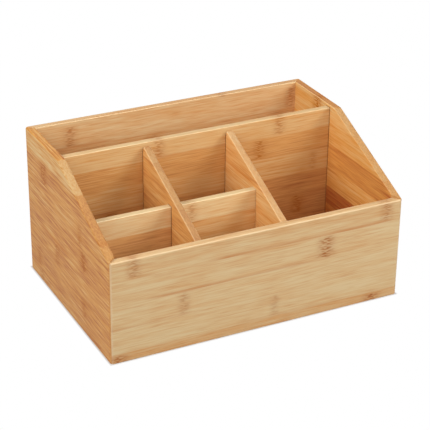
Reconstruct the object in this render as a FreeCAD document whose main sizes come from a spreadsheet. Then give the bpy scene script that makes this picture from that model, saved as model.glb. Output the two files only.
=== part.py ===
"""Bamboo desk organizer: an open box with a tall back, a low front and sloping sides.

Ten laminated bamboo boards. Four walls meet in mitred corners, a base board
sits in a groove that runs round all four, and five dividers stand on it in
stopped housings, so that the box has six fixed compartments.
The frame has its origin at the middle of the footprint on the table, with +X
to the right along the front, +Y towards the back and +Z up. Sizes are in mm.
"""
import FreeCAD, Part
import os

import Sketcher

SIZES = (
    # The whole box.
    ("organizer_width", 300, "outside, along the front"),
    ("organizer_depth", 204, "outside, front to back"),
    ("back_height", 152, "top of the back wall above the table"),
    ("front_height", 102, "top of the front wall above the table"),
    ("slope_run", 118, "front of the box to where the sides stop rising"),
    ("slope_blend", 6, "radius that softens the break in the sides' top edge"),
    ("wall_thickness", 8, "four outer walls"),
    ("corner_radius", 3, "upright outside corners"),
    ("rim_easing", 1.8, "radius sanded on the walls' outer top edges"),
    ("rim_inner_easing", 1, "radius sanded on the walls' inner top edges"),
    ("foot_easing", 0.6, "radius sanded on the edges that meet the table"),
    # The base board and the groove that holds it.
    ("base_thickness", 5, "base board"),
    ("base_lift", 4, "underside of the base board above the table"),
    ("base_housing", 4, "depth of the groove round the walls"),
    ("base_slack", 0.4, "room beside and above the base board in its groove"),
    # The dividers.
    ("divider_thickness", 7, "all five dividers"),
    ("divider_easing", 1, "radius sanded on the level dividers' top edges"),
    ("slope_easing", 1.8, "radius sanded on the long dividers' sloping top edges"),
    ("housing_depth", 2.5, "how deep a divider's housing is cut"),
    ("housing_slack", 0.3, "room round a divider's end in its housing"),
    ("rear_cell_depth", 63, "clear depth behind the rear divider"),
    ("rear_divider_drop", 2.5, "rear divider's top below the back wall's top"),
    ("left_cell_width", 80.5, "clear width of the two left compartments"),
    ("middle_cell_width", 80.5, "clear width of the two middle compartments"),
    ("front_cell_depth", 54, "clear depth in front of the cross dividers"),
    ("cross_divider_height", 111, "top of the cross dividers above the table"),
    ("long_divider_back", 147, "top of the long dividers at the rear divider"),
    ("long_divider_front", 97.5, "top of the long dividers at the front wall"),
    ("long_divider_nose", 2.5, "radius on the long dividers' upper back corner"),
    ("long_divider_shoulder", 6, "how far a long divider's tongues stay below its top"),
    # How far a cutting shape reaches past the wood it cuts.
    ("overrun", 2, "cutting shapes past the surface"),
)

# Places and lengths that follow from the sizes, each written once.
DERIVED = (
    ("floor_level", "base_lift + base_thickness"),
    ("inner_depth", "organizer_depth - 2 * wall_thickness"),
    ("inner_width", "organizer_width - 2 * wall_thickness"),
    ("rear_divider_front", "organizer_depth - wall_thickness - rear_cell_depth - divider_thickness"),
    ("rear_divider_top", "back_height - rear_divider_drop"),
    ("left_divider_face", "wall_thickness + left_cell_width"),
    ("right_divider_face", "left_divider_face + divider_thickness + middle_cell_width"),
    ("cross_divider_front", "wall_thickness + front_cell_depth"),
    ("long_divider_run", "rear_divider_front - wall_thickness"),
    ("tongue", "housing_depth - housing_slack"),
    ("housing_width", "divider_thickness + 2 * housing_slack"),
    ("groove_height", "base_thickness + base_slack"),
)

doc = FreeCAD.newDocument("DeskOrganizer")
sheet = doc.addObject("Spreadsheet::Sheet", "Sizes")
for row, (alias, value, note) in enumerate(SIZES, start=1):
    sheet.set(f"A{row}", alias)
    sheet.set(f"B{row}", str(value))
    sheet.set(f"C{row}", note)
    sheet.setAlias(f"B{row}", alias)
for row, (alias, formula) in enumerate(DERIVED, start=len(SIZES) + 1):
    sheet.set(f"A{row}", alias)
    sheet.set(f"B{row}", "=" + formula)
    sheet.setAlias(f"B{row}", alias)
doc.recompute()

ALIASES = {entry[0] for entry in SIZES + DERIVED}


def in_sheet(formula):
    """The formula with each alias pointing at its cell in the sheet."""
    words = formula.replace("(", " ( ").replace(")", " ) ").split()
    return " ".join("Sizes." + word if word in ALIASES else word for word in words)


def value_of(formula):
    """The formula's value now, in millimetres."""
    return float(sheet.evalExpression(in_sheet(formula)))


def bind(feature, prop, formula):
    """Ties one property of a feature to the sheet."""
    feature.setExpression(prop, in_sheet(formula))


def new_board(name, corner):
    """An empty body, placed by the corner that its own origin marks."""
    board = doc.addObject("PartDesign::Body", name)
    board.Label = name
    for axis, formula in zip("xyz", corner):
        bind(board, "Placement.Base." + axis, formula)
    return board


def draw(board, name, role, corners):
    """A closed outline of straight lines on one of the board's origin planes."""
    plane = next(item for item in board.Origin.OriginFeatures if item.Role == role)
    sketch = board.newObject("Sketcher::SketchObject", name)
    sketch.AttachmentSupport = [(plane, "")]
    sketch.MapMode = "FlatFace"
    points = [FreeCAD.Vector(value_of(across), value_of(up), 0) for across, up in corners]
    count = len(points)
    for i in range(count):
        sketch.addGeometry(Part.LineSegment(points[i], points[(i + 1) % count]), False)
    for i in range(count):
        sketch.addConstraint(Sketcher.Constraint("Coincident", i, 2, (i + 1) % count, 1))
    for i, (across, up) in enumerate(corners):
        for kind, axis, formula in (("DistanceX", -2, across), ("DistanceY", -1, up)):
            if formula == "0":
                sketch.addConstraint(Sketcher.Constraint("PointOnObject", i, 1, axis))
                continue
            index = sketch.addConstraint(Sketcher.Constraint(kind, -1, 1, i, 1, value_of(formula)))
            label = f"{kind}_{i}"
            sketch.renameConstraint(index, label)
            bind(sketch, "Constraints." + label, formula)
    return sketch


def pad(board, name, sketch, thickness, reverse=False):
    """Gives an outline its thickness."""
    feature = board.newObject("PartDesign::Pad", name)
    feature.Profile = sketch
    feature.Reversed = reverse
    bind(feature, "Length", thickness)
    doc.recompute()
    return feature


def cut_through_upwards(board, name, sketch):
    """Removes an outline drawn on the table plane from the whole height of the board."""
    before = board.Shape.Volume
    feature = board.newObject("PartDesign::Pocket", name)
    feature.Profile = sketch
    feature.Type = "ThroughAll"
    feature.Reversed = True
    doc.recompute()
    if not board.Shape.Volume < before:
        raise RuntimeError(f"{name} removed nothing from {board.Label}")


def cut_housing(board, name, corner, size):
    """Removes a box from the board, given its lowest corner and its three lengths."""
    before = board.Shape.Volume
    feature = board.newObject("PartDesign::SubtractiveBox", name)
    for axis, formula in zip("xyz", corner):
        bind(feature, "Placement.Base." + axis, formula)
    for prop, formula in zip(("Length", "Width", "Height"), size):
        bind(feature, prop, formula)
    doc.recompute()
    if not board.Shape.Volume < before:
        raise RuntimeError(f"{name} removed nothing from {board.Label}")


def round_edges(board, name, radius, wanted):
    """Rounds every edge of the board whose middle point and direction are wanted."""
    base = board.Tip
    names = []
    for number, edge in enumerate(base.Shape.Edges, start=1):
        first, last = edge.ParameterRange
        middle = edge.valueAt((first + last) / 2)
        direction = edge.tangentAt((first + last) / 2)
        if wanted(middle, direction):
            names.append(f"Edge{number}")
    if not names:
        raise RuntimeError(f"{name} found no edge on {board.Label}")
    feature = board.newObject("PartDesign::Fillet", name)
    feature.Base = (base, names)
    bind(feature, "Radius", radius)
    doc.recompute()


# Two places closer than this are the same place.
SAME_PLACE = value_of("housing_slack") / 100
# A unit direction with at least this share along an axis runs along it.
ALIGNED_SHARE = 0.9999


def near(a, b):
    """Whether two places along one axis are the same."""
    return abs(a - b) < SAME_PLACE


def runs_along(direction, axis):
    """Whether an edge's direction is that of an axis."""
    return abs(getattr(direction, axis)) > ALIGNED_SHARE


# The walls. A side wall's own origin is the outside corner at the front, on
# the table, and its thickness grows inwards. The hand is 1 on the left side
# and -1 on the right side, which is its mirror image.


def side_wall(name, hand):
    """A side wall with its sloping top edge, both mitres and the base groove."""
    board = new_board(name, (f"{-hand} * organizer_width / 2", "-1 * organizer_depth / 2", "0"))
    outline = draw(board, name + "_outline", "YZ_Plane", (
        ("0", "0"),
        ("organizer_depth", "0"),
        ("organizer_depth", "back_height"),
        ("slope_run", "back_height"),
        ("0", "front_height"),
    ))
    pad(board, name + "_blank", outline, "wall_thickness", reverse=hand < 0)

    depth = value_of("organizer_depth")
    thickness = value_of("wall_thickness")
    run = value_of("slope_run")
    low = value_of("front_height")
    radius = value_of("corner_radius")
    round_edges(board, name + "_corners", "corner_radius", lambda middle, direction: (
        runs_along(direction, "z") and near(middle.x, 0) and (near(middle.y, 0) or near(middle.y, depth))
    ))
    round_edges(board, name + "_break", "slope_blend", lambda middle, direction: (
        runs_along(direction, "x") and near(middle.y, run) and middle.z > low
    ))

    front = draw(board, name + "_front_mitre", "XY_Plane", (
        (f"{-hand} * overrun", "-1 * overrun"),
        (f"{hand} * ( wall_thickness + overrun )", "-1 * overrun"),
        (f"{hand} * ( wall_thickness + overrun )", "wall_thickness + overrun"),
    ))
    cut_through_upwards(board, name + "_front_mitre_cut", front)
    back = draw(board, name + "_back_mitre", "XY_Plane", (
        (f"{-hand} * overrun", "organizer_depth + overrun"),
        (f"{hand} * ( wall_thickness + overrun )", "organizer_depth + overrun"),
        (f"{hand} * ( wall_thickness + overrun )", "organizer_depth - wall_thickness - overrun"),
    ))
    cut_through_upwards(board, name + "_back_mitre_cut", back)

    def outside(middle):
        return abs(middle.x) < radius / 2

    def inside(middle):
        return near(abs(middle.x), thickness)

    def on_rim(middle, direction):
        return not runs_along(direction, "z") and middle.z > low / 2

    round_edges(board, name + "_rim", "rim_easing", lambda middle, direction: (
        on_rim(middle, direction) and outside(middle)
    ))
    round_edges(board, name + "_inner_rim", "rim_inner_easing", lambda middle, direction: (
        on_rim(middle, direction) and inside(middle)
    ))
    round_edges(board, name + "_foot", "foot_easing", lambda middle, direction: (
        not runs_along(direction, "z") and near(middle.z, 0) and outside(middle)
    ))
    inner_face = "wall_thickness" if hand > 0 else "0 - wall_thickness"
    groove_start = "wall_thickness - base_housing" if hand > 0 else f"{inner_face} - overrun"
    cut_housing(board, name + "_base_groove", (groove_start, "wall_thickness - base_housing", "base_lift"), (
        "base_housing + overrun",
        "inner_depth + 2 * base_housing",
        "groove_height",
    ))
    return board


def side_housing(board, name, hand, front, top):
    """A housing in a side wall's inner face, from the base groove up to a divider's top."""
    start = "wall_thickness - housing_depth" if hand > 0 else "0 - wall_thickness - overrun"
    cut_housing(board, name, (start, f"{front} - housing_slack", "floor_level"), (
        "housing_depth + overrun",
        "housing_width",
        f"{top} + housing_slack - floor_level",
    ))


def end_wall(name, top, front):
    """The front or the back wall: a straight board between two mitres."""
    near_y = "-1 * organizer_depth / 2" if front else "organizer_depth / 2 - wall_thickness"
    board = new_board(name, ("-1 * organizer_width / 2", near_y, "0"))
    outline = draw(board, name + "_outline", "XY_Plane", (
        ("0", "0"),
        ("organizer_width", "0"),
        ("organizer_width", "wall_thickness"),
        ("0", "wall_thickness"),
    ))
    pad(board, name + "_blank", outline, top)

    width = value_of("organizer_width")
    outer = 0 if front else value_of("wall_thickness")
    inner = value_of("wall_thickness") - outer
    height = value_of(top)
    radius = value_of("corner_radius")
    round_edges(board, name + "_corners", "corner_radius", lambda middle, direction: (
        runs_along(direction, "z") and near(middle.y, outer)
    ))
    # Each mitre runs from the outside corner to the inside one.
    toe = "-1 * overrun" if front else "wall_thickness + overrun"
    heel = "wall_thickness + overrun" if front else "-1 * overrun"
    left = draw(board, name + "_left_mitre", "XY_Plane", (
        ("-1 * overrun", toe),
        ("-1 * overrun", heel),
        ("wall_thickness + overrun", heel),
    ))
    cut_through_upwards(board, name + "_left_mitre_cut", left)
    right = draw(board, name + "_right_mitre", "XY_Plane", (
        ("organizer_width + overrun", toe),
        ("organizer_width + overrun", heel),
        ("organizer_width - wall_thickness - overrun", heel),
    ))
    cut_through_upwards(board, name + "_right_mitre_cut", right)

    def outside(middle):
        return abs(middle.y - outer) < radius / 2

    def inside(middle):
        return near(middle.y, inner)

    round_edges(board, name + "_rim", "rim_easing", lambda middle, direction: (
        near(middle.z, height) and outside(middle)
    ))
    round_edges(board, name + "_inner_rim", "rim_inner_easing", lambda middle, direction: (
        near(middle.z, height) and inside(middle)
    ))
    round_edges(board, name + "_foot", "foot_easing", lambda middle, direction: (
        near(middle.z, 0) and outside(middle)
    ))
    groove_start = "wall_thickness - base_housing" if front else "-1 * overrun"
    cut_housing(board, name + "_base_groove", ("wall_thickness - base_housing", groove_start, "base_lift"), (
        "inner_width + 2 * base_housing",
        "base_housing + overrun",
        "groove_height",
    ))
    return board


left_side = side_wall("left_side", 1)
right_side = side_wall("right_side", -1)
side_housing(left_side, "left_rear_housing", 1, "rear_divider_front", "rear_divider_top")
side_housing(right_side, "right_rear_housing", -1, "rear_divider_front", "rear_divider_top")
side_housing(left_side, "left_cross_housing", 1, "cross_divider_front", "cross_divider_height")

back_wall = end_wall("back_wall", "back_height", front=False)
front_wall = end_wall("front_wall", "front_height", front=True)
for label, face in (("left", "left_divider_face"), ("right", "right_divider_face")):
    cut_housing(
        front_wall,
        label + "_divider_front_housing",
        (f"{face} - housing_slack", "wall_thickness - housing_depth", "floor_level"),
        (
            "housing_width",
            "housing_depth + overrun",
            "long_divider_front - long_divider_shoulder + housing_slack - floor_level",
        ),
    )


# The base board fills the groove but for the room left for the wood to swell.
base_edge = "wall_thickness - base_housing + base_slack"
bottom_board = new_board("bottom_board", (
    f"{base_edge} - organizer_width / 2",
    f"{base_edge} - organizer_depth / 2",
    "base_lift",
))
base_outline = draw(bottom_board, "base_outline", "XY_Plane", (
    ("0", "0"),
    ("inner_width + 2 * ( base_housing - base_slack )", "0"),
    ("inner_width + 2 * ( base_housing - base_slack )", "inner_depth + 2 * ( base_housing - base_slack )"),
    ("0", "inner_depth + 2 * ( base_housing - base_slack )"),
))
pad(bottom_board, "base_blank", base_outline, "base_thickness")


def ease_top(board, name, radius, faces, top_is, axis):
    """Rounds a divider's two long top edges, which lie in its two faces."""
    def in_a_face(middle):
        return any(near(getattr(middle, axis), place) for place in faces)

    round_edges(board, name, radius, lambda middle, direction: (
        in_a_face(middle) and top_is(middle)
    ))


def cross_board(name, left_x, clear_width, front_y, top):
    """A divider that runs left to right, with a tongue at each end."""
    board = new_board(name, (
        f"{left_x} - tongue - organizer_width / 2",
        f"{front_y} + divider_thickness - organizer_depth / 2",
        "floor_level",
    ))
    outline = draw(board, name + "_outline", "XZ_Plane", (
        ("0", "0"),
        (f"{clear_width} + 2 * tongue", "0"),
        (f"{clear_width} + 2 * tongue", f"{top} - floor_level"),
        ("0", f"{top} - floor_level"),
    ))
    pad(board, name + "_blank", outline, "divider_thickness")
    height = value_of(f"{top} - floor_level")
    back = 0
    front = -value_of("divider_thickness")
    ease_top(
        board,
        name + "_easing",
        "divider_easing",
        (back, front),
        lambda middle: near(middle.z, height),
        "y",
    )
    return board


rear_divider = cross_board(
    "rear_divider", "wall_thickness", "inner_width", "rear_divider_front", "rear_divider_top"
)
for label, face in (("left", "left_divider_face"), ("right", "right_divider_face")):
    cut_housing(
        rear_divider,
        label + "_divider_back_housing",
        (
            f"{face} - housing_slack - wall_thickness + tongue",
            "-1 * ( divider_thickness + overrun )",
            "-1 * overrun",
        ),
        (
            "housing_width",
            "housing_depth + overrun",
            "long_divider_back - long_divider_shoulder + housing_slack - floor_level + overrun",
        ),
    )
left_cross_divider = cross_board(
    "left_cross_divider", "wall_thickness", "left_cell_width", "cross_divider_front", "cross_divider_height"
)
middle_cross_divider = cross_board(
    "middle_cross_divider",
    "left_divider_face + divider_thickness",
    "middle_cell_width",
    "cross_divider_front",
    "cross_divider_height",
)


def long_divider(name, face):
    """A divider that runs from the front wall to the rear divider under a sloping top."""
    board = new_board(name, (
        f"{face} - organizer_width / 2",
        "wall_thickness - organizer_depth / 2",
        "floor_level",
    ))
    outline = draw(board, name + "_outline", "YZ_Plane", (
        ("-1 * tongue", "0"),
        ("long_divider_run + tongue", "0"),
        ("long_divider_run + tongue", "long_divider_back - long_divider_shoulder - floor_level"),
        ("long_divider_run", "long_divider_back - long_divider_shoulder - floor_level"),
        ("long_divider_run", "long_divider_back - floor_level"),
        ("0", "long_divider_front - floor_level"),
        ("0", "long_divider_front - long_divider_shoulder - floor_level"),
        ("-1 * tongue", "long_divider_front - long_divider_shoulder - floor_level"),
    ))
    pad(board, name + "_blank", outline, "divider_thickness")

    run = value_of("long_divider_run")
    high = value_of("long_divider_back - floor_level")
    low = value_of("long_divider_front - floor_level")
    round_edges(board, name + "_nose", "long_divider_nose", lambda middle, direction: (
        runs_along(direction, "x") and near(middle.y, run) and near(middle.z, high)
    ))
    ease_top(
        board,
        name + "_easing",
        "slope_easing",
        (0, value_of("divider_thickness")),
        lambda middle: 0 < middle.y < run and middle.z > min(low, high),
        "x",
    )
    return board


left_divider = long_divider("left_divider", "left_divider_face")
right_divider = long_divider("right_divider", "right_divider_face")

# Where the cross dividers' tongues enter the long dividers.
cross_height = "cross_divider_height + housing_slack - floor_level + overrun"
cross_start = "cross_divider_front - housing_slack - wall_thickness"
for board, name, start in (
    (left_divider, "left_face_housing", "-1 * overrun"),
    (left_divider, "right_face_housing", "divider_thickness - housing_depth"),
    (right_divider, "middle_cell_housing", "-1 * overrun"),
):
    cut_housing(board, name, (start, cross_start, "-1 * overrun"), (
        "housing_depth + overrun",
        "housing_width",
        cross_height,
    ))

BOARDS = (
    left_side,
    right_side,
    back_wall,
    front_wall,
    bottom_board,
    rear_divider,
    left_divider,
    right_divider,
    left_cross_divider,
    middle_cross_divider,
)

doc.recompute()
for item in doc.Objects:
    if "Invalid" in item.State or "Error" in item.State:
        raise RuntimeError(f"{item.Label} could not be built: {item.State}")
for board in BOARDS:
    if board.Shape.isNull() or not board.Shape.isValid() or len(board.Shape.Solids) != 1:
        raise RuntimeError(f"{board.Label} is not one valid solid")

os.makedirs("parts", exist_ok=True)
for board in BOARDS:
    board.Shape.exportStep(f"parts/{board.Label}.step")
    box = board.Shape.BoundBox
    print(
        f"{board.Label:22s} x {box.XMin:8.2f} {box.XMax:8.2f}  y {box.YMin:8.2f} {box.YMax:8.2f}"
        f"  z {box.ZMin:7.2f} {box.ZMax:7.2f}  volume {board.Shape.Volume / 1000:8.2f} cm3"
    )
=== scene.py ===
"""Dresses a desk organizer of laminated bamboo, an open box with a tall back and six compartments.

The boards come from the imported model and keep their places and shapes. This file gives each board its
own cut of bamboo, strip by strip, and sets up the floor, the lamps and the camera.
"""

import math
from collections import namedtuple

import bpy
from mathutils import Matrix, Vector


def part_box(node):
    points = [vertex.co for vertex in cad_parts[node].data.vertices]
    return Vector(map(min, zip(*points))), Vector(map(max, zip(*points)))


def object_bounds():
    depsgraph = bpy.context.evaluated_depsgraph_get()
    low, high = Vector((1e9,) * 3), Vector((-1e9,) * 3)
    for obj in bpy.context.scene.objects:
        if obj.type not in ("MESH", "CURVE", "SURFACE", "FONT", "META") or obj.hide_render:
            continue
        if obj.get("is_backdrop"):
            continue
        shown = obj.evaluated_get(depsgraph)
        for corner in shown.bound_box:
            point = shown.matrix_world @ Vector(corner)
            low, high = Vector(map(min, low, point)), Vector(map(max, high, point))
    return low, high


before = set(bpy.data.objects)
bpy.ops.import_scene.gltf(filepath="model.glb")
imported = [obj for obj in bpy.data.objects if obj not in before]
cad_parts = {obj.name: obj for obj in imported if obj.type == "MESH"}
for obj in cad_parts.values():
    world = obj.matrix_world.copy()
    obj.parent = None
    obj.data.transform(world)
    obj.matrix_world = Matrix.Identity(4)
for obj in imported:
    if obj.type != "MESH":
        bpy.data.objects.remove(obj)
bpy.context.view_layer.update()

bl_info = {
    "name": "Bamboo Desk Organizer",
    "version": (1, 0, 0),
    "blender": (4, 5, 0),
    "location": "3D View > Sidebar > Organizer",
    "description": "Finishes the boards of a bamboo desk organizer and lights it for a product picture",
    "category": "Object",
}

MM = 0.001

# In millimetres, further along the grain than any board reaches.
FAR = 1000.0


def linear(code, alpha=1.0):
    """An sRGB hex colour as the linear values that Blender's sockets take."""
    values = [int(code[i:i + 2], 16) / 255 for i in (1, 3, 5)]
    return tuple(v / 12.92 if v <= 0.04045 else ((v + 0.055) / 1.055) ** 2.4 for v in values) + (alpha,)


def add_node(tree, kind, inputs=None, output=0, **settings):
    """Adds a node with its settings, gives its inputs links or values, and hands back one of its outputs."""
    made = tree.nodes.new(kind)
    for name, value in settings.items():
        setattr(made, name, value)
    for key, value in (inputs or {}).items():
        if isinstance(value, bpy.types.NodeSocket):
            tree.links.new(value, made.inputs[key])
        else:
            made.inputs[key].default_value = value
    return made.outputs[output] if made.outputs else None


# The boards, strip by strip.

# A strip's tone runs from 0, straw, over 0.5, honey, to 1, chestnut. A knuckle is the ring where the
# cane had a joint: where it lies along the grain, how strongly it shows and how far the next one is.
# The strip's lower edge can carry a streak of dark skin: its middle, half its length and its strength.
# Places and lengths are in millimetres, and the strips are listed from the lowest seam up.
Strip = namedtuple(
    "Strip", "tone knuckle ring spacing streak reach skin", defaults=(0.0, 0.0, FAR, 0.0, 60.0, 0.0)
)

# The grain runs along one axis, and the strips follow each other along another, which is the rise. The
# first seam's place and the strips' width are in millimetres, and the seed picks the board's own pattern.
# Light and warmth say how bright and how strongly coloured the board's batch of cane is beside the
# palette, its knuckles, bundles and skin included. Grain, clouds, dashes and lines say how strongly the
# fine grain, the wide patches, the short dashes and the long thin lines show. Edge is added to the tone
# on the board's narrow edges. Where the board is cut at a slant, slope is added to the light, and even
# says how far the strips' tones run together. Wear says how pale the rounded arrises are painted: partly
# the thinner lacquer that sanding leaves, partly a painted highlight where the lamps catch them.
Board = namedtuple(
    "Board", "axis rise seam width seed strips light warmth grain clouds dashes lines edge slope even wear",
    defaults=(0.0, 0.0, 0.5),
)

BOARDS = {
    "front_wall": Board(
        axis="X", rise="Z", seam=9.0, width=24.3, seed=3, light=0.84, warmth=0.98,
        grain=0.24, clouds=0.20, dashes=0.09, lines=0.10, edge=0.05, wear=0.40,
        strips=(
            Strip(0.40, 121, 0.90, 263, streak=-60, reach=100, skin=0.3),
            Strip(0.13, 15, 0.35, 280, streak=60, reach=90, skin=0.2),
            Strip(0.16, -78, 0.45, 280, streak=-110, reach=50, skin=0.3),
            Strip(0.17, 68, 0.90, 280, streak=-28, reach=90, skin=0.5),
            Strip(0.24, 133, 0.60, 260, streak=45, reach=100, skin=0.7),
        ),
    ),
    "back_wall": Board(
        axis="X", rise="Z", seam=4.0, width=24.0, seed=11, light=1.12, warmth=0.98,
        grain=0.22, clouds=0.22, dashes=0.12, lines=0.10, edge=0.12,
        strips=(
            Strip(0.45, -60, 0.6, 270),
            Strip(0.40, 96, 0.6, 250),
            Strip(0.50, -20, 0.5, 280),
            Strip(0.38, -118, 0.8, 255),
            Strip(0.45, 40, 0.6, 280),
            Strip(0.45, -20, 0.5, 280),
            # Painted shade: this strip's streak of skin at the left end and its knuckle rings near both ends
            # stand partly for the shade in the inner corners by the side walls.
            Strip(0.32, 137, 0.65, 244, streak=-105, reach=50, skin=0.6),
            Strip(0.32, 58, 0.6, 280),
        ),
    ),
    "left_side": Board(
        axis="Y", rise="Z", seam=14.0, width=24.0, seed=23, light=0.86, warmth=1.10,
        grain=0.12, clouds=0.11, dashes=0.16, lines=0.24, edge=0.25, slope=-0.02, wear=0.0,
        strips=(
            Strip(0.58, 70, 0.6),
            Strip(0.62, -40, 0.6, 115),
            Strip(0.60, 25, 0.7),
            Strip(0.62, -42, 0.9, streak=35, reach=45, skin=0.5),
            Strip(0.56, -34, 0.6),
            Strip(0.62, 55, 1.0, streak=-70, reach=25, skin=0.5),
            Strip(0.32),
        ),
    ),
    "right_side": Board(
        axis="Y", rise="Z", seam=18.2, width=23.4, seed=37, light=1.20, warmth=1.08,
        grain=0.46, clouds=0.10, dashes=0.08, lines=0.10, edge=0.25, slope=-0.36, even=0.85, wear=0.3,
        strips=(
            Strip(0.66, 62, 0.5),
            Strip(0.73, -30, 0.5),
            # Painted shade: this strip's dark tone stands partly for the shade low in the right-hand
            # compartment, so it also shows as a dark band on the outside.
            Strip(0.86, 80, 0.5),
            Strip(0.48, -84, 0.5),
            Strip(0.65),
            Strip(0.43),
            Strip(0.34, 49, 0.9),
        ),
    ),
    "rear_divider": Board(
        axis="X", rise="Z", seam=16.1, width=22.8, seed=41, light=1.04, warmth=1.03,
        grain=0.13, clouds=0.12, dashes=0.08, lines=0.12, edge=-0.15, wear=0.42,
        strips=(
            Strip(0.70, -20, 0.5, 270),
            Strip(0.70, 40, 0.6, 260),
            Strip(0.66, 108, 0.7, 250),
            Strip(0.63, -96, 0.6, 270),
            Strip(0.42, 125, 0.3, 280),
            Strip(0.51, 63, 0.7, 270),
            Strip(0.31, 85, 0.6, 130, streak=-5, reach=60, skin=0.5),
        ),
    ),
    "left_divider": Board(
        axis="Y", rise="Z", seam=20.0, width=23.5, seed=53, light=1.12, warmth=1.05,
        grain=0.34, clouds=0.16, dashes=0.12, lines=0.12, edge=0.10, slope=-0.34,
        strips=(
            Strip(0.55, -30, 0.5),
            Strip(0.55, 10, 0.5),
            Strip(0.54, -70, 0.5),
            Strip(0.52, -74, 0.6),
            Strip(0.55),
            Strip(0.53),
            Strip(0.48),
        ),
    ),
    "right_divider": Board(
        axis="Y", rise="Z", seam=20.0, width=23.5, seed=61, light=1.18, warmth=1.04,
        grain=0.34, clouds=0.16, dashes=0.10, lines=0.12, edge=0.10, slope=-0.28,
        strips=(
            Strip(0.50, -50, 0.5),
            Strip(0.50, 0, 0.5),
            Strip(0.52, -20, 0.5),
            Strip(0.46),
            Strip(0.44, streak=-60, reach=28, skin=0.7),
            Strip(0.50, streak=-8, reach=36, skin=1.0),
            Strip(0.38),
        ),
    ),
    "left_cross_divider": Board(
        axis="X", rise="Z", seam=19.4, width=23.7, seed=71, light=1.17, warmth=1.00,
        grain=0.18, clouds=0.22, dashes=0.09, lines=0.11, edge=-0.18, wear=0.65,
        strips=(
            Strip(0.50, -100, 0.5),
            Strip(0.45, -80, 0.5),
            Strip(0.52, -120, 0.4),
            Strip(0.54),
            Strip(0.16),
        ),
    ),
    "middle_cross_divider": Board(
        axis="X", rise="Z", seam=19.9, width=23.7, seed=83, light=1.19, warmth=1.02,
        grain=0.20, clouds=0.27, dashes=0.09, lines=0.11, edge=-0.20, wear=0.62,
        strips=(
            Strip(0.50, -10, 0.5),
            Strip(0.45, 10, 0.5),
            Strip(0.42, -30, 0.4),
            Strip(0.42),
            Strip(0.12, -41, 0.5),
        ),
    ),
    "bottom_board": Board(
        axis="X", rise="Y", seam=-84.0, width=24.0, seed=97, light=1.00, warmth=1.00,
        grain=0.26, clouds=0.20, dashes=0.10, lines=0.10, edge=0.0,
        strips=(
            Strip(0.45, 30, 0.6, 270),
            Strip(0.35, -90, 0.6, 260),
            Strip(0.42, 110, 0.6, 250),
            Strip(0.30, -20, 0.6, 280),
            Strip(0.40, 70, 0.6, 270),
            Strip(0.36, -120, 0.6, 260),
            Strip(0.44, 10, 0.6, 280),
            Strip(0.32, 90, 0.6, 250),
            Strip(0.40, -50, 0.6, 270),
        ),
    ),
}

# The boards that each divider's ends are housed in, at the low and at the high end of its grain. None
# stands for an end that fits so tightly that no dark line of glued joint and painted shade shows.
HOUSED_IN = {
    "rear_divider": ("left_side", "right_side"),
    "left_divider": ("front_wall", "rear_divider"),
    "right_divider": ("front_wall", "rear_divider"),
    "left_cross_divider": ("left_side", "left_divider"),
    "middle_cross_divider": ("left_divider", None),
}
WALLS = ("front_wall", "back_wall", "left_side", "right_side")
DIVIDERS = ("rear_divider", "left_divider", "right_divider", "left_cross_divider", "middle_cross_divider")
BASE = ("bottom_board",)


class OrganizerBamboo(bpy.types.PropertyGroup):
    """The bamboo that all the boards are cut from."""

    straw: bpy.props.FloatVectorProperty(
        name="Straw", description="Colour of the palest strips", subtype="COLOR", size=4,
        min=0, max=1, default=linear("#DABF90"),
    )
    honey: bpy.props.FloatVectorProperty(
        name="Honey", description="Colour of the strips of middle darkness", subtype="COLOR", size=4,
        min=0, max=1, default=linear("#CF995E"),
    )
    chestnut: bpy.props.FloatVectorProperty(
        name="Chestnut", description="Colour of the darkest strips", subtype="COLOR", size=4,
        min=0, max=1, default=linear("#A25F40"),
    )
    fibre: bpy.props.FloatVectorProperty(
        name="Fibre", description="Colour of the dark fibre bundles", subtype="COLOR", size=4,
        min=0, max=1, default=linear("#9E5A2E"),
    )
    knuckle: bpy.props.FloatVectorProperty(
        name="Knuckle", description="Colour of the rings where the cane had its joints", subtype="COLOR",
        size=4, min=0, max=1, default=linear("#A55F26"),
    )
    skin: bpy.props.FloatVectorProperty(
        name="Skin", description="Colour of the seams and of the skin left on a strip's edge",
        subtype="COLOR", size=4, min=0, max=1, default=linear("#BC7234"),
    )
    # Partly a painted highlight: this pale colour on the arrises stands for the lamps' highlight as well as
    # sanding.
    arris: bpy.props.FloatVectorProperty(
        name="Arris", description="Colour of the rounded arrises, where sanding has thinned the lacquer",
        subtype="COLOR", size=4, min=0, max=1, default=linear("#F3DFB6"),
    )
    # Partly painted shade: the housing's dark line is the glued joint and the shade in the gap beside it.
    glue: bpy.props.FloatVectorProperty(
        name="Glue", description="Colour of the glue line where a divider enters its housing",
        subtype="COLOR", size=4, min=0, max=1, default=linear("#7A3F1C"),
    )
    fibre_pitch: bpy.props.FloatProperty(
        name="Fibre pitch", description="Distance from one fibre bundle to the next", unit="LENGTH",
        min=0.0002, max=0.005, default=0.0011,
    )
    gloss: bpy.props.FloatProperty(
        name="Lacquer roughness", description="Roughness of the thin satin lacquer", subtype="FACTOR",
        min=0, max=1, default=0.46,
    )


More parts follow.
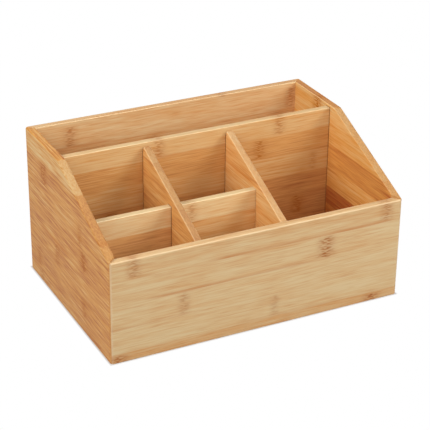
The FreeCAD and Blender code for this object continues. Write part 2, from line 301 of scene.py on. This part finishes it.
class OrganizerStage(bpy.types.PropertyGroup):
    """The floor, the lamps and the camera."""

    camera_place: bpy.props.FloatVectorProperty(
        name="Camera place", description="Where the camera stands", subtype="TRANSLATION", unit="LENGTH",
        size=3, default=(-0.5801, -1.1568, 0.7198),
    )
    camera_turn: bpy.props.FloatVectorProperty(
        name="Camera turn", description="How the camera is turned", subtype="EULER", unit="ROTATION",
        size=3, default=(math.radians(63.39), math.radians(-0.59), math.radians(-26.47)),
    )
    focal_length: bpy.props.FloatProperty(
        name="Focal length", description="Focal length on a sensor 36 mm wide, in millimetres",
        min=10, max=400, default=125.5,
    )
    sky: bpy.props.FloatProperty(
        name="Sky", description="Strength of the even light from all round", min=0, max=4, default=0.33,
    )
    left_watts: bpy.props.FloatProperty(
        name="Left lamp", description="Power of the softbox up on the left", unit="POWER",
        min=0, max=500, default=15.0,
    )
    front_watts: bpy.props.FloatProperty(
        name="Front lamp", description="Power of the softbox up in front", unit="POWER",
        min=0, max=500, default=6.0,
    )
    right_watts: bpy.props.FloatProperty(
        name="Right lamp", description="Power of the softbox in front on the right", unit="POWER",
        min=0, max=500, default=13.0,
    )
    back_watts: bpy.props.FloatProperty(
        name="Back lamp", description="Power of the softbox high up behind", unit="POWER",
        min=0, max=500, default=4.0,
    )
    lamp_size: bpy.props.FloatProperty(
        name="Lamp size", description="Width and height of each softbox", unit="LENGTH",
        min=0.05, max=5, default=0.8,
    )
    floor_size: bpy.props.FloatProperty(
        name="Floor size", description="Width and depth of the floor", unit="LENGTH",
        min=1, max=50, default=16,
    )
    shadow_share: bpy.props.FloatProperty(
        name="Shadow share", description="How much of the object's shadow the white floor shows beside it",
        subtype="FACTOR", min=0, max=1, default=0.8,
    )
    shadow_reach: bpy.props.FloatProperty(
        name="Shadow reach", description="How far from the object the shadow has faded away", unit="LENGTH",
        min=0.001, max=1, default=0.002,
    )


# The bamboo.

# The looks of a board that its pattern reads as they are.
LOOKS = ("light", "warmth", "grain", "clouds", "dashes", "lines", "edge", "slope", "even", "wear", "seed")

# The layers of the pattern. Each is noise with grains of a length and a thickness, with finer copies over
# it, and the part of its range that counts, from low to high, becomes the values that follow. The length
# is in millimetres. The thickness is in millimetres or in pitches, the distance between two fibre bundles.
# Wander is how far the fibres stray up and down, and wobble how far a knuckle's ring strays along them,
# both in millimetres. The marks are those in a knuckle, and patches break up a streak of skin. The
# roughness is how strong each finer copy is beside the coarser one.
Layer = namedtuple("Layer", "long thick pitches copies low high to_low to_high")

LAYERS = {
    "wander": Layer(120.0, 40.0, 0.0, 1.0, 0.0, 1.0, -1.2, 1.2),
    "grain": Layer(150.0, 0.0, 7.0, 3.0, 0.0, 1.0, -1.0, 1.0),
    "clouds": Layer(60.0, 12.0, 0.0, 2.0, 0.0, 1.0, -1.0, 1.0),
    "dashes": Layer(22.0, 0.0, 1.1, 1.0, 0.30, 0.70, -1.0, 1.0),
    "lines": Layer(45.0, 0.0, 1.0, 1.0, 0.30, 0.70, -1.0, 1.0),
    "marks": Layer(5.0, 0.0, 0.9, 0.0, 0.40, 0.60, 0.0, 1.0),
    "wobble": Layer(25.0, 5.0, 0.0, 1.0, 0.0, 1.0, -1.5, 1.5),
    "patches": Layer(50.0, 30.0, 0.0, 1.0, 0.40, 0.62, 0.5, 1.0),
}
LAYER_ROUGHNESS = 0.62

# Each strip comes from another cane, so its pattern starts up to this many millimetres further along.
CANE_LENGTH = 900.0

# A surface is cut at a slant where it leans along the grain, lies on a narrow edge where it leans along
# the rise, and is a rounded arris where it leans to no one axis. Each look starts at one share of the
# surface's direction and is full at another.
SLANT_STARTS = 0.15
SLANT_FULL = 0.35
EDGE_STARTS = 0.55
EDGE_FULL = 0.85
ARRIS_STARTS = 0.97
ARRIS_FULL = 0.85

# A slanted cut keeps this share of the fine grain, changes the warmth by this much, and runs its strips
# together towards this tone. The narrow edges of all boards are equally light.
SLANT_GRAIN = 0.45
SLANT_WARMTH = -0.08
EVEN_TONE = 0.47
EDGE_LIGHT = 0.94

# A dash that is darker than this, on its layer's scale from -1 to 1, is a fibre bundle that the saw has
# laid open.
BUNDLE_STARTS = 0.2

# A knuckle's haze reaches this many millimetres to both sides, on a faint and on a strong ring. Towards
# a seam the ring fades, and is full and gone this many millimetres from it. Its marks lie over its haze.
FAINT_REACH = 5.0
STRONG_REACH = 17.0
RING_FULL = 3.0
RING_GONE = 0.2
HAZE_STRENGTH = 0.28
MARK_STRENGTH = 0.80

# How many millimetres above a seam a streak of skin is full and gone, and over how many its ends fade.
SKIN_FULL = 0.8
SKIN_GONE = 4.0
SKIN_FADE = 20.0

# How many millimetres from a seam its line is full and gone, and the same for a housing's dark line, which
# is partly the glued joint and partly painted shade in its gap.
SEAM_FULL = 0.1
SEAM_GONE = 0.6
SEAM_STRENGTH = 0.12
GLUE_AND_SHADE_FULL = 0.3
GLUE_AND_SHADE_GONE = 0.9
GLUE_AND_SHADE_STRENGTH = 0.6

# How much rougher or smoother the grain makes the lacquer, and how far the bundles and marks sink beside
# the grain. The relief's height is in metres.
GLOSS_CHANGE = 0.08
DENT = -0.3
RELIEF_HEIGHT = 0.1 * MM
RELIEF_STRENGTH = 0.2


def strip_values(tree, name, ladder):
    """A strip's values at a place on its board's ladder of strips.

    They are read from ramps with one flat step for each strip. A ramp holds 0 to 1, so each value is
    stored as its share of the range that it can have on this board.
    """
    board = BOARDS[name]
    low, high = (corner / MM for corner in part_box(name))
    along = "XYZ".index(board.axis)
    length = high[along] - low[along]
    ranges = {
        "tone": (0, 1), "knuckle": (low[along], high[along]), "ring": (0, 1), "spacing": (0, length),
        "streak": (low[along], high[along]), "reach": (0, length), "skin": (0, 1),
    }
    count = len(board.strips)
    # A strip is read in the middle of its step.
    number = add_node(tree, "ShaderNodeMath", {0: ladder}, operation="FLOOR")
    step = add_node(tree, "ShaderNodeMapRange", {
        "Value": number, "From Max": count, "To Min": 0.5 / count, "To Max": 1 + 0.5 / count,
    })
    values = {}
    # A ramp carries four values, three in its colour and one in its alpha.
    for fields in (Strip._fields[:4], Strip._fields[4:]):
        colour = add_node(tree, "ShaderNodeValToRGB", {"Fac": step})
        ramp = colour.node.color_ramp
        ramp.interpolation = "CONSTANT"
        ramp.elements.remove(ramp.elements[1])
        for place, strip in enumerate(board.strips):
            stop = ramp.elements.new(place / count) if place else ramp.elements[0]
            kept = [0.0, 0.0, 0.0, 1.0]
            for channel, field in enumerate(fields):
                smallest, largest = ranges[field]
                kept[channel] = min((getattr(strip, field) - smallest) / (largest - smallest), 1)
            stop.color = kept
        parts = add_node(tree, "ShaderNodeSeparateColor", {"Color": colour}).node.outputs
        for field, part in zip(fields, (*parts, colour.node.outputs["Alpha"])):
            smallest, largest = ranges[field]
            values[field] = add_node(tree, "ShaderNodeMapRange", {
                "Value": part, "To Min": smallest, "To Max": largest,
            })
    return values


def pattern_layers(tree, place, pitch):
    """The values of the pattern's layers at a place in the board, whose fibre bundles lie a pitch apart."""
    values = {}
    for name, layer in LAYERS.items():
        thick = layer.thick + layer.pitches * pitch
        squeezed = add_node(tree, "ShaderNodeVectorMath", {
            0: place, 1: (1 / layer.long, 1 / thick, 1 / thick),
        }, operation="MULTIPLY")
        noise = add_node(tree, "ShaderNodeTexNoise", {
            "Vector": squeezed, "Scale": 1.0, "Detail": layer.copies, "Roughness": LAYER_ROUGHNESS,
        })
        values[name] = add_node(tree, "ShaderNodeMapRange", {
            "Value": noise, "From Min": layer.low, "From Max": layer.high,
            "To Min": layer.to_low, "To Max": layer.to_high,
        })
        if name == "wander":
            # The fibres wander a little up and down, so the layers that follow lie along them.
            lift = add_node(tree, "ShaderNodeCombineXYZ", {"Y": values[name]})
            place = add_node(tree, "ShaderNodeVectorMath", {0: place, 1: lift}, operation="ADD")
    return values


def surface_shares(tree, facing):
    """How far the surface is a slanted cut, a narrow edge and a rounded arris, by where it faces."""
    facing = add_node(tree, "ShaderNodeVectorMath", {0: facing}, operation="ABSOLUTE")
    faces = add_node(tree, "ShaderNodeSeparateXYZ", {0: facing}).node.outputs
    slant = add_node(tree, "ShaderNodeMapRange", {
        "Value": faces[0], "From Min": SLANT_STARTS, "From Max": SLANT_FULL,
    })
    edge = add_node(tree, "ShaderNodeMapRange", {
        "Value": faces[1], "From Min": EDGE_STARTS, "From Max": EDGE_FULL,
    })
    edge = add_node(tree, "ShaderNodeMath", {0: edge, 1: slant}, operation="SUBTRACT", use_clamp=True)
    most = add_node(tree, "ShaderNodeMath", {0: faces[0], 1: faces[1]}, operation="MAXIMUM")
    most = add_node(tree, "ShaderNodeMath", {0: most, 1: faces[2]}, operation="MAXIMUM")
    arris = add_node(tree, "ShaderNodeMapRange", {
        "Value": most, "From Min": ARRIS_STARTS, "From Max": ARRIS_FULL,
    })
    return slant, edge, arris


def wood_tone(tree, given, layer, slant, edge, plain):
    """The strip's own tone, with the edge, the grain, the clouds, the dashes and the lines laid over it."""
    even = add_node(tree, "ShaderNodeMath", {0: given["Even"], 1: slant}, operation="MULTIPLY")
    tone = add_node(tree, "ShaderNodeMix", {"Factor": even, "A": given["Tone"], "B": EVEN_TONE})
    tone = add_node(tree, "ShaderNodeMath", {0: given["Edge"], 1: edge, 2: tone}, operation="MULTIPLY_ADD")
    fine = add_node(tree, "ShaderNodeMath", {0: layer["grain"], 1: plain}, operation="MULTIPLY")
    tone = add_node(tree, "ShaderNodeMath", {0: fine, 1: given["Grain"], 2: tone}, operation="MULTIPLY_ADD")
    tone = add_node(tree, "ShaderNodeMath", {
        0: layer["clouds"], 1: given["Clouds"], 2: tone,
    }, operation="MULTIPLY_ADD")
    dashes = add_node(tree, "ShaderNodeMath", {0: layer["dashes"], 1: given["Dashes"]}, operation="MULTIPLY")
    lines = add_node(tree, "ShaderNodeMath", {0: layer["lines"], 1: given["Lines"]}, operation="MULTIPLY")
    dashes = add_node(tree, "ShaderNodeMath", {0: dashes, 1: lines}, operation="ADD")
    return add_node(tree, "ShaderNodeMath", {0: dashes, 1: plain, 2: tone}, operation="MULTIPLY_ADD")


def open_bundles(tree, given, layer, plain):
    """How dark the fibre bundles are that the saw has laid open, which are the darkest of the dashes."""
    bundles = add_node(tree, "ShaderNodeMapRange", {
        "Value": layer["dashes"], "From Min": BUNDLE_STARTS, "From Max": 1.0,
    })
    bundles = add_node(tree, "ShaderNodeMath", {0: bundles, 1: given["Dashes"]}, operation="MULTIPLY")
    return add_node(tree, "ShaderNodeMath", {0: bundles, 1: plain}, operation="MULTIPLY")


def knuckle_ring(tree, given, layer, along, to_seam):
    """How dark a knuckle is: a ring of short marks with a haze on both sides, wider where it shows more."""
    off = add_node(tree, "ShaderNodeMath", {0: along, 1: given["Knuckle"]}, operation="SUBTRACT")
    off = add_node(tree, "ShaderNodeMath", {0: off, 1: layer["wobble"]}, operation="ADD")
    half = add_node(tree, "ShaderNodeMath", {0: given["Spacing"], 1: 0.5}, operation="MULTIPLY")
    back = add_node(tree, "ShaderNodeMath", {0: given["Spacing"], 1: -0.5}, operation="MULTIPLY")
    off = add_node(tree, "ShaderNodeMath", {0: off, 1: half, 2: back}, operation="WRAP")
    off = add_node(tree, "ShaderNodeMath", {0: off}, operation="ABSOLUTE")
    reach = add_node(tree, "ShaderNodeMapRange", {
        "Value": given["Ring"], "To Min": FAINT_REACH, "To Max": STRONG_REACH,
    })
    haze = add_node(tree, "ShaderNodeMapRange", {
        "Value": off, "From Min": reach, "From Max": 0.0,
    }, interpolation_type="SMOOTHSTEP")
    marks = add_node(tree, "ShaderNodeMath", {0: haze, 1: layer["marks"]}, operation="MULTIPLY")
    marks = add_node(tree, "ShaderNodeMath", {
        0: marks, 1: MARK_STRENGTH, 2: HAZE_STRENGTH,
    }, operation="MULTIPLY_ADD")
    inner = add_node(tree, "ShaderNodeMapRange", {
        "Value": to_seam, "From Min": RING_GONE, "From Max": RING_FULL,
    })
    ring = add_node(tree, "ShaderNodeMath", {0: haze, 1: marks}, operation="MULTIPLY")
    ring = add_node(tree, "ShaderNodeMath", {0: ring, 1: inner}, operation="MULTIPLY")
    return add_node(tree, "ShaderNodeMath", {0: ring, 1: given["Ring"]}, operation="MULTIPLY")


def seam_skin(tree, given, layer, along, to_lower, to_seam):
    """How dark a strip's skin side is, a patchy streak above its lower seam, and each seam's thin line."""
    away = add_node(tree, "ShaderNodeMath", {0: along, 1: given["Streak"]}, operation="SUBTRACT")
    away = add_node(tree, "ShaderNodeMath", {0: away}, operation="ABSOLUTE")
    near = add_node(tree, "ShaderNodeMath", {0: given["Reach"], 1: away}, operation="SUBTRACT")
    near = add_node(tree, "ShaderNodeMapRange", {"Value": near, "From Min": 0.0, "From Max": SKIN_FADE})
    above = add_node(tree, "ShaderNodeMapRange", {
        "Value": to_lower, "From Min": SKIN_GONE, "From Max": SKIN_FULL,
    }, interpolation_type="SMOOTHSTEP")
    skin = add_node(tree, "ShaderNodeMath", {0: above, 1: near}, operation="MULTIPLY")
    skin = add_node(tree, "ShaderNodeMath", {0: skin, 1: layer["patches"]}, operation="MULTIPLY")
    skin = add_node(tree, "ShaderNodeMath", {0: skin, 1: given["Skin"]}, operation="MULTIPLY")
    line = add_node(tree, "ShaderNodeMapRange", {
        "Value": to_seam, "From Min": SEAM_GONE, "From Max": SEAM_FULL, "To Max": SEAM_STRENGTH,
    })
    return add_node(tree, "ShaderNodeMath", {0: skin, 1: line}, operation="MAXIMUM")


def housing_glue_and_shade(tree, given, along):
    """How dark the line is where a divider enters its housing: partly the glued joint, partly painted shade
    in the gap.
    """
    from_low = add_node(tree, "ShaderNodeMath", {0: along, 1: given["Low End"]}, operation="SUBTRACT")
    from_high = add_node(tree, "ShaderNodeMath", {0: given["High End"], 1: along}, operation="SUBTRACT")
    off = add_node(tree, "ShaderNodeMath", {0: from_low, 1: from_high}, operation="MINIMUM")
    return add_node(tree, "ShaderNodeMapRange", {
        "Value": off, "From Min": GLUE_AND_SHADE_GONE, "From Max": GLUE_AND_SHADE_FULL, "To Max": GLUE_AND_SHADE_STRENGTH,
    })


def bamboo_group():
    """The node group that turns a place in a board into the colour, gloss and relief of laminated bamboo.

    Its places are in millimetres: along the grain, across the strips and through the board. Bamboo's
    fibre bundles are long and thin, so every pattern is stretched along the grain, in all three
    directions of the board, and a slope cuts the bundles at a slant as a saw does.
    """
    kit = bpy.context.scene.organizer_bamboo
    tree = bpy.data.node_groups.new("laminated_bamboo", "ShaderNodeTree")
    for name in ("Place", "Facing"):
        tree.interface.new_socket(name, in_out="INPUT", socket_type="NodeSocketVector")
    for name in ("Low End", "High End", "Ladder", "Strip Width", *map(str.title, LOOKS + Strip._fields)):
        tree.interface.new_socket(name, in_out="INPUT", socket_type="NodeSocketFloat")
    for name, kind in (("Color", "Color"), ("Roughness", "Float"), ("Height", "Float")):
        tree.interface.new_socket(name, in_out="OUTPUT", socket_type=f"NodeSocket{kind}")
    given = add_node(tree, "NodeGroupInput").node.outputs
    along = add_node(tree, "ShaderNodeSeparateXYZ", {0: given["Place"]})

    # How far the place is from its strip's lower edge and from the nearer seam.
    number = add_node(tree, "ShaderNodeMath", {0: given["Ladder"]}, operation="FLOOR")
    part = add_node(tree, "ShaderNodeMath", {0: given["Ladder"]}, operation="FRACT")
    to_lower = add_node(tree, "ShaderNodeMath", {0: part, 1: given["Strip Width"]}, operation="MULTIPLY")
    to_upper = add_node(tree, "ShaderNodeMath", {0: given["Strip Width"], 1: to_lower}, operation="SUBTRACT")
    to_seam = add_node(tree, "ShaderNodeMath", {0: to_lower, 1: to_upper}, operation="MINIMUM")

    # Where this strip's own cane starts.
    key = add_node(tree, "ShaderNodeCombineXYZ", {"X": number, "Y": given["Seed"]})
    chance = add_node(tree, "ShaderNodeTexWhiteNoise", {"Vector": key}, 1, noise_dimensions="2D")
    start = add_node(tree, "ShaderNodeVectorMath", {0: chance, "Scale": CANE_LENGTH}, operation="SCALE")
    place = add_node(tree, "ShaderNodeVectorMath", {0: given["Place"], 1: start}, operation="ADD")

    layer = pattern_layers(tree, place, kit.fibre_pitch / MM)
    slant, edge, arris = surface_shares(tree, given["Facing"])
    plain = add_node(tree, "ShaderNodeMapRange", {"Value": slant, "To Min": 1.0, "To Max": SLANT_GRAIN})
    tone = wood_tone(tree, given, layer, slant, edge, plain)
    bundles = open_bundles(tree, given, layer, plain)
    ring = knuckle_ring(tree, given, layer, along, to_seam)
    skin = seam_skin(tree, given, layer, along, to_lower, to_seam)
    glue = housing_glue_and_shade(tree, given, along)

    # The wood's own colours come first, and the board's batch of cane changes them all.
    colour = add_node(tree, "ShaderNodeValToRGB", {"Fac": tone})
    stops = colour.node.color_ramp.elements
    stops[0].color = kit.straw
    stops[1].color = kit.chestnut
    stops.new(0.5).color = kit.honey
    for share, tint in ((bundles, kit.fibre), (ring, kit.knuckle), (skin, kit.skin)):
        colour = add_node(tree, "ShaderNodeMix", {"Factor": share, 6: colour, 7: tint}, 2, data_type="RGBA")
    light = add_node(tree, "ShaderNodeMix", {"Factor": edge, "A": given["Light"], "B": EDGE_LIGHT})
    light = add_node(tree, "ShaderNodeMath", {
        0: given["Slope"], 1: slant, 2: light,
    }, operation="MULTIPLY_ADD")
    warmth = add_node(tree, "ShaderNodeMath", {
        0: slant, 1: SLANT_WARMTH, 2: given["Warmth"],
    }, operation="MULTIPLY_ADD")
    colour = add_node(tree, "ShaderNodeHueSaturation", {
        "Saturation": warmth, "Value": light, "Color": colour,
    })

    # Sanding thins the lacquer on an arris, which leaves it paler, and the arris is also given a painted
    # highlight where the lamps catch it, but not beside a slanted cut. The housing's dark line, partly the
    # glued joint and partly painted shade in its gap, lies over it all.
    worn_and_highlight = add_node(tree, "ShaderNodeMapRange", {"Value": slant, "To Min": given["Wear"], "To Max": 0.0})
    worn_and_highlight = add_node(tree, "ShaderNodeMath", {0: arris, 1: worn_and_highlight}, operation="MULTIPLY")
    for share, tint in ((worn_and_highlight, kit.arris), (glue, kit.glue)):
        colour = add_node(tree, "ShaderNodeMix", {"Factor": share, 6: colour, 7: tint}, 2, data_type="RGBA")

    # The grain makes the lacquer a little rougher and smoother. The bundles and marks lie a little lower
    # than the soft wood round them.
    roughness = add_node(tree, "ShaderNodeMapRange", {
        "Value": layer["grain"], "From Min": -1.0, "From Max": 1.0,
        "To Min": kit.gloss - GLOSS_CHANGE, "To Max": kit.gloss + GLOSS_CHANGE,
    })
    dents = add_node(tree, "ShaderNodeMath", {0: bundles, 1: ring}, operation="ADD")
    height = add_node(tree, "ShaderNodeMath", {
        0: dents, 1: DENT, 2: layer["grain"],
    }, operation="MULTIPLY_ADD")
    add_node(tree, "NodeGroupOutput", {"Color": colour, "Roughness": roughness, "Height": height})
    return tree


def bamboo(name):
    """Laminated bamboo for one board: edge-glued strips of cane, finely sanded, under a thin satin lacquer.

    The lacquer gives soft, wide highlights, and the fibres' relief can just be felt.
    """
    board = BOARDS[name]
    material = bpy.data.materials.new(f"laminated_bamboo_{name}")
    material.use_nodes = True
    tree = material.node_tree
    tree.nodes.clear()

    # The place and the facing, turned so that X runs along the grain and Y along the rise.
    here = add_node(tree, "ShaderNodeTexCoord", output="Object")
    in_mm = add_node(tree, "ShaderNodeVectorMath", {0: here, "Scale": 1 / MM}, operation="SCALE")
    through = ({"X", "Y", "Z"} - {board.axis, board.rise}).pop()
    vectors = {}
    for socket, source in (("Place", in_mm), ("Facing", here.node.outputs["Normal"])):
        parts = add_node(tree, "ShaderNodeSeparateXYZ", {0: source}).node.outputs
        vectors[socket] = add_node(tree, "ShaderNodeCombineXYZ", {
            "X": parts[board.axis], "Y": parts[board.rise], "Z": parts[through],
        })
        if socket == "Place":
            across = parts[board.rise]

    # The ladder counts the strips, and its whole numbers are the seams.
    count = len(board.strips)
    ladder = add_node(tree, "ShaderNodeMapRange", {
        "Value": across, "From Min": board.seam - board.width,
        "From Max": board.seam + (count - 1) * board.width, "To Max": count,
    }, clamp=False)
    values = strip_values(tree, name, ladder)

    # Where the board's ends enter their housings.
    along = "XYZ".index(board.axis)
    low_housing, high_housing = HOUSED_IN.get(name, (None, None))
    low_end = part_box(low_housing)[1][along] / MM if low_housing else -FAR
    high_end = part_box(high_housing)[0][along] / MM if high_housing else FAR
    wood = add_node(tree, "ShaderNodeGroup", {
        **vectors, "Low End": low_end, "High End": high_end, "Ladder": ladder, "Strip Width": board.width,
        **{field.title(): getattr(board, field) for field in LOOKS},
        **{field.title(): value for field, value in values.items()},
    }, node_tree=bpy.data.node_groups["laminated_bamboo"]).node.outputs
    relief = add_node(tree, "ShaderNodeBump", {
        "Strength": RELIEF_STRENGTH, "Distance": RELIEF_HEIGHT, "Height": wood["Height"],
    })
    shader = add_node(tree, "ShaderNodeBsdfPrincipled", {
        "Base Color": wood["Color"], "Roughness": wood["Roughness"], "Normal": relief,
        "IOR": 1.5, "Specular IOR Level": 0.15,
    })
    add_node(tree, "ShaderNodeOutputMaterial", {"Surface": shader})
    return material


def dress(names):
    """Gives each named board its own cut of bamboo."""
    if "laminated_bamboo" not in bpy.data.node_groups:
        bamboo_group()
    for name in names:
        material = bamboo(name)
        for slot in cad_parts[name].material_slots:
            slot.material = material


# The stage.

# Where each lamp stands from the middle of the object, in metres.
LAMP_PLACES = {
    "left": (-1.25, -0.2, 0.85),
    "front": (-0.1, -1.15, 0.9),
    "right": (1.0, -1.1, 0.7),
    "back": (0.0, 0.8, 1.2),
}

# The floor lies this far under the object, so that the two don't share a surface.
FLOOR_DROP = 0.05 * MM
WHITE = linear("#FFFFFF")
PAPER = linear("#CBCBCB")

# In millimetres.
SENSOR_WIDTH = 36.0


def softbox(name, place, target, size, watts):
    """A square area lamp with an even, soft light, which shines at a place."""
    data = bpy.data.lights.new(name, "AREA")
    data.shape = "SQUARE"
    data.size = size
    data.energy = watts
    lamp = bpy.data.objects.new(name, data)
    lamp.location = place
    lamp.rotation_euler = (lamp.location - Vector(target)).to_track_quat("Z", "Y").to_euler()
    bpy.context.scene.collection.objects.link(lamp)


def seen_directly(tree):
    """1 where the camera sees the surface, straight on or in a reflection or through glass."""
    path = add_node(tree, "ShaderNodeLightPath").node.outputs
    seen = path["Is Camera Ray"]
    for ray in ("Is Glossy Ray", "Is Transmission Ray"):
        seen = add_node(tree, "ShaderNodeMath", {0: seen, 1: path[ray]}, operation="MAXIMUM")
    return seen


def white_world(strength):
    """A world that looks white and lights the object evenly at a lower level."""
    world = bpy.data.worlds.new("white_studio")
    bpy.context.scene.world = world
    world.use_nodes = True
    tree = world.node_tree
    tree.nodes.clear()
    even = add_node(tree, "ShaderNodeBackground", {"Color": WHITE, "Strength": strength})
    white = add_node(tree, "ShaderNodeBackground", {"Color": WHITE, "Strength": 1.0})
    mix = add_node(tree, "ShaderNodeMixShader", {0: seen_directly(tree), 1: even, 2: white})
    add_node(tree, "ShaderNodeOutputWorld", {"Surface": mix})


def white_floor(size, box_corner, shadow_share, shadow_reach):
    """A large sheet of matt white paper, which lies just under the object.

    It keeps the object's shadow close beside it and is plain white further out. The origin is the middle
    of the object's footprint, and box_corner is the object's corner at the right, back and top.
    """
    half = size / 2
    mesh = bpy.data.meshes.new("studio_floor")
    corners = [(x, y, -FLOOR_DROP) for x, y in ((-half, -half), (half, -half), (half, half), (-half, half))]
    mesh.from_pydata(corners, [], [(0, 1, 2, 3)])
    floor = bpy.data.objects.new("studio_floor", mesh)
    bpy.context.scene.collection.objects.link(floor)
    material = bpy.data.materials.new("white_paper")
    material.use_nodes = True
    tree = material.node_tree
    tree.nodes.clear()

    # How far a place on the floor is from the object's footprint.
    here = add_node(tree, "ShaderNodeTexCoord", output="Object")
    away = add_node(tree, "ShaderNodeVectorMath", {0: here}, operation="ABSOLUTE")
    away = add_node(tree, "ShaderNodeVectorMath", {0: away, 1: box_corner}, operation="SUBTRACT")
    away = add_node(tree, "ShaderNodeVectorMath", {0: away, 1: (0, 0, 0)}, operation="MAXIMUM")
    away = add_node(tree, "ShaderNodeVectorMath", {0: away}, "Value", operation="LENGTH")
    glow_share = add_node(tree, "ShaderNodeMapRange", {
        "Value": away, "From Max": shadow_reach, "To Min": 1 - shadow_share, "To Max": 1.0,
    }, interpolation_type="SMOOTHSTEP")
    glow_share = add_node(tree, "ShaderNodeMath", {
        0: seen_directly(tree), 1: glow_share,
    }, operation="MULTIPLY")
    paper = add_node(tree, "ShaderNodeBsdfDiffuse", {"Color": PAPER})
    glow = add_node(tree, "ShaderNodeEmission", {"Color": WHITE, "Strength": 1.0})
    mix = add_node(tree, "ShaderNodeMixShader", {0: glow_share, 1: paper, 2: glow})
    add_node(tree, "ShaderNodeOutputMaterial", {"Surface": mix})
    mesh.materials.append(material)
    floor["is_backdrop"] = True


def camera(place, turn, focal_length):
    """The camera, where the photograph was taken from."""
    data = bpy.data.cameras.new("camera")
    data.sensor_fit = "HORIZONTAL"
    data.sensor_width = SENSOR_WIDTH
    data.lens = focal_length
    data.clip_start = 0.05
    data.clip_end = 100.0
    seat = bpy.data.objects.new("camera", data)
    seat.location = place
    seat.rotation_euler = turn
    bpy.context.scene.collection.objects.link(seat)
    bpy.context.scene.camera = seat


# The operators.


class ORGANIZER_OT_walls(bpy.types.Operator):
    """Finish the four walls of the box in laminated bamboo"""

    bl_idname = "organizer.walls"
    bl_label = "Finish the walls"

    def execute(self, context):
        dress(WALLS)
        return {"FINISHED"}


class ORGANIZER_OT_dividers(bpy.types.Operator):
    """Finish the five dividers in laminated bamboo"""

    bl_idname = "organizer.dividers"
    bl_label = "Finish the dividers"

    def execute(self, context):
        dress(DIVIDERS)
        return {"FINISHED"}


class ORGANIZER_OT_base(bpy.types.Operator):
    """Finish the base board in laminated bamboo"""

    bl_idname = "organizer.base"
    bl_label = "Finish the base"

    def execute(self, context):
        dress(BASE)
        return {"FINISHED"}


class ORGANIZER_OT_stage(bpy.types.Operator):
    """Set up the white floor, the soft lamps and the camera"""

    bl_idname = "organizer.stage"
    bl_label = "Set up the stage"

    def execute(self, context):
        kit = context.scene.organizer_stage
        low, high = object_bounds()
        middle = (Vector(low) + Vector(high)) / 2
        white_world(kit.sky)
        white_floor(kit.floor_size, high, kit.shadow_share, kit.shadow_reach)
        for side, reach in LAMP_PLACES.items():
            watts = getattr(kit, f"{side}_watts")
            softbox(f"softbox_{side}", middle + Vector(reach), middle, kit.lamp_size, watts)
        camera(kit.camera_place, kit.camera_turn, kit.focal_length)
        context.scene.view_settings.view_transform = "Standard"
        return {"FINISHED"}


class ORGANIZER_PT_panel(bpy.types.Panel):
    """The organizer's steps and settings"""

    bl_idname = "ORGANIZER_PT_panel"
    bl_label = "Bamboo Organizer"
    bl_space_type = "VIEW_3D"
    bl_region_type = "UI"
    bl_category = "Organizer"

    def draw(self, context):
        layout = self.layout
        for kit, operators in (
            (context.scene.organizer_bamboo, ("organizer.walls", "organizer.dividers", "organizer.base")),
            (context.scene.organizer_stage, ("organizer.stage",)),
        ):
            box = layout.box()
            for name in kit.bl_rna.properties.keys():
                if name not in ("rna_type", "name"):
                    box.prop(kit, name)
            for operator in operators:
                box.operator(operator)


CLASSES = (
    OrganizerBamboo,
    OrganizerStage,
    ORGANIZER_OT_walls,
    ORGANIZER_OT_dividers,
    ORGANIZER_OT_base,
    ORGANIZER_OT_stage,
    ORGANIZER_PT_panel,
)


def register():
    for cls in CLASSES:
        bpy.utils.register_class(cls)
    bpy.types.Scene.organizer_bamboo = bpy.props.PointerProperty(type=OrganizerBamboo)
    bpy.types.Scene.organizer_stage = bpy.props.PointerProperty(type=OrganizerStage)


def unregister():
    del bpy.types.Scene.organizer_stage
    del bpy.types.Scene.organizer_bamboo
    for cls in reversed(CLASSES):
        bpy.utils.unregister_class(cls)


def main():
    register()
    bpy.ops.organizer.walls()
    bpy.ops.organizer.dividers()
    bpy.ops.organizer.base()
    bpy.ops.organizer.stage()


if __name__ == "__main__":
    main()
